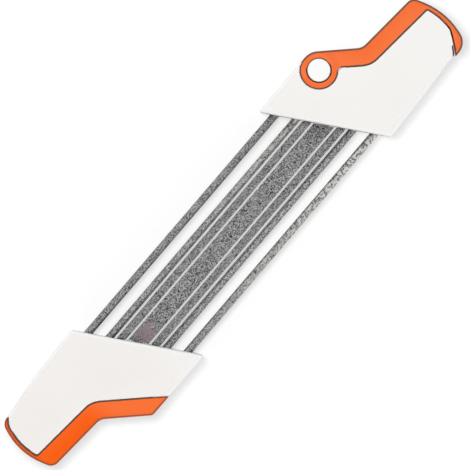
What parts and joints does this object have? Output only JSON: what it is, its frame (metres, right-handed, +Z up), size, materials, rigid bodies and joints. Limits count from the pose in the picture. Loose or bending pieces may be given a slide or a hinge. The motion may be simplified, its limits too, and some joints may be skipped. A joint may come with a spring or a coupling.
{
  "type": "chainsaw file guide",
  "caption": "Hand sharpener for saw chain: parallel round files, a flat depth file and guide rails held between slanted end handles, released by a side lever",
  "frame": {"origin": "middle of the tool's outline, on the bench that it lies on", "axes": "+X along the files toward the handle with the lever, +Z up from the bench toward the side that the picture shows, +Y toward the lever's pivot"},
  "size_m": [0.3963, 0.077, 0.0348],
  "materials": {
    "white_plastic": "satin moulded, warm white",
    "orange_plastic": "satin moulded, orange",
    "socket_plastic": "matt, light grey",
    "file_steel": "hardened file steel, cut teeth",
    "rail_steel": "ground flat bar",
    "rod_steel": "drawn round bar",
    "zinc_steel": "zinc plated",
    "bronze": "sintered bronze"
  },
  "bodies": {
    "frame": {"fixed_handle_top": "white_plastic", "fixed_handle_bottom": "white_plastic", "fixed_handle_grip": "orange_plastic", "fixed_handle_socket_block": "socket_plastic", "fixed_handle_screw_1": "zinc_steel", "fixed_handle_screw_2": "zinc_steel", "fixed_handle_screw_3": "zinc_steel", "fixed_handle_screw_4": "zinc_steel", "guide_rod_left": "rod_steel", "guide_rod_right": "rod_steel", "round_file_left": "file_steel", "round_file_right": "file_steel", "depth_file": "file_steel", "guide_rail_left": "rail_steel", "guide_rail_right": "rail_steel", "rod_pin_left": "zinc_steel", "rod_pin_right": "zinc_steel", "draw_fork": "zinc_steel", "fork_pin": "zinc_steel", "stop_clip": "zinc_steel"},
    "clamp_handle": {"clamp_handle_top": "white_plastic", "clamp_handle_bottom": "white_plastic", "clamp_handle_socket_block": "socket_plastic", "clamp_handle_screw_1": "zinc_steel", "clamp_handle_screw_2": "zinc_steel", "clamp_handle_screw_3": "zinc_steel", "clamp_handle_screw_4": "zinc_steel", "rod_bush_left": "bronze", "rod_bush_right": "bronze"},
    "lever": {"lever": "orange_plastic", "crank_shaft": "zinc_steel", "pivot_cap_top": "white_plastic", "pivot_cap_bottom": "white_plastic"}
  },
  "joints": [
    {"name": "clamp_slide", "type": "slide", "parent": "frame", "child": "clamp_handle", "axis": [1, 0, 0], "range_m": [0, 0.00801]},
    {"name": "lever_swing", "type": "hinge", "parent": "clamp_handle", "child": "lever", "pos_m": [0.11847, 0.026, 0.017], "axis": [0, 0, 1], "range_deg": [0, 80]}
  ],
  "couplings": [
    {"joint": "clamp_slide", "follows": "lever_swing", "m_per_rad": 0.00573}
  ]
}
